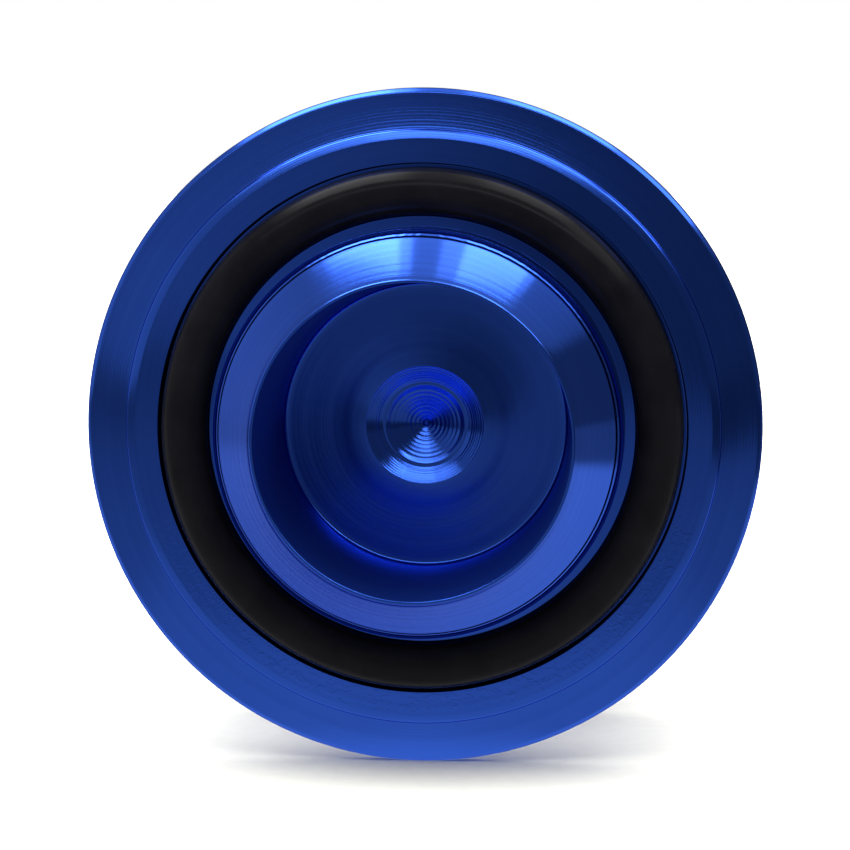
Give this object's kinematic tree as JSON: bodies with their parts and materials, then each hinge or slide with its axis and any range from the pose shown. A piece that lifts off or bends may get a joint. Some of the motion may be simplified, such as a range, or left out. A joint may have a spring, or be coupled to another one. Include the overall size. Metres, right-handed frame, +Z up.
{
  "type": "yo yo",
  "caption": "Turned metal yo yo with a raised, cupped hub and a rubber ring on each side, its halves screwed together over a ball bearing.",
  "frame": {"origin": "middle of the axle, half way between the two halves", "axes": "+Y along the axle towards the rear half, +Z up; the yo yo stands on its two rims"},
  "size_m": [0.056, 0.047, 0.056],
  "materials": {
    "anodised_aluminium": "glossy blue anodising over fine turning marks",
    "black_rubber": "matt moulded rubber",
    "silicone": "soft translucent silicone",
    "turned_steel": "turned stainless steel",
    "axle_steel": "black oxide steel",
    "bearing_steel": "ground and polished steel",
    "spring_steel": "spring steel wire",
    "ball_steel": "polished steel balls",
    "cage_brass": "pressed brass"
  },
  "bodies": {
    "rear_body": {"rear_half": "anodised_aluminium", "rear_rubber_ring": "black_rubber", "rear_response_pad": "silicone", "rear_spacer": "turned_steel", "axle_screw": "axle_steel", "bearing_inner_race": "bearing_steel"},
    "front_spacer_body": {"front_spacer": "turned_steel"},
    "front_body": {"front_half": "anodised_aluminium", "front_rubber_ring": "black_rubber", "front_response_pad": "silicone"},
    "bearing_ring_body": {"bearing_outer_race": "bearing_steel", "bearing_front_shield": "bearing_steel", "bearing_rear_shield": "bearing_steel", "bearing_front_snap_ring": "spring_steel", "bearing_rear_snap_ring": "spring_steel"},
    "bearing_cage_body": {"bearing_cage": "cage_brass", "bearing_ball_1": "ball_steel", "bearing_ball_2": "ball_steel", "bearing_ball_3": "ball_steel", "bearing_ball_4": "ball_steel", "bearing_ball_5": "ball_steel", "bearing_ball_6": "ball_steel", "bearing_ball_7": "ball_steel", "bearing_ball_8": "ball_steel"}
  },
  "joints": [
    {"name": "front_half_draw", "type": "slide", "parent": "rear_body", "child": "front_spacer_body", "axis": [0, -1, 0], "range_m": [0, 0.00315]},
    {"name": "front_half_turn", "type": "hinge", "parent": "front_spacer_body", "child": "front_body", "pos_m": [0, 0, 0], "axis": [0, -1, 0], "range_deg": [0, 1620]},
    {"name": "bearing_spin", "type": "hinge", "parent": "rear_body", "child": "bearing_ring_body", "pos_m": [0, 0, 0], "axis": [0, 1, 0], "continuous": true},
    {"name": "cage_orbit", "type": "hinge", "parent": "rear_body", "child": "bearing_cage_body", "pos_m": [0, 0, 0], "axis": [0, 1, 0], "continuous": true}
  ],
  "couplings": [
    {"joint": "front_half_draw", "follows": "front_half_turn", "m_per_rad": 0.00011141},
    {"joint": "cage_orbit", "follows": "bearing_spin", "ratio": 0.58336}
  ]
}
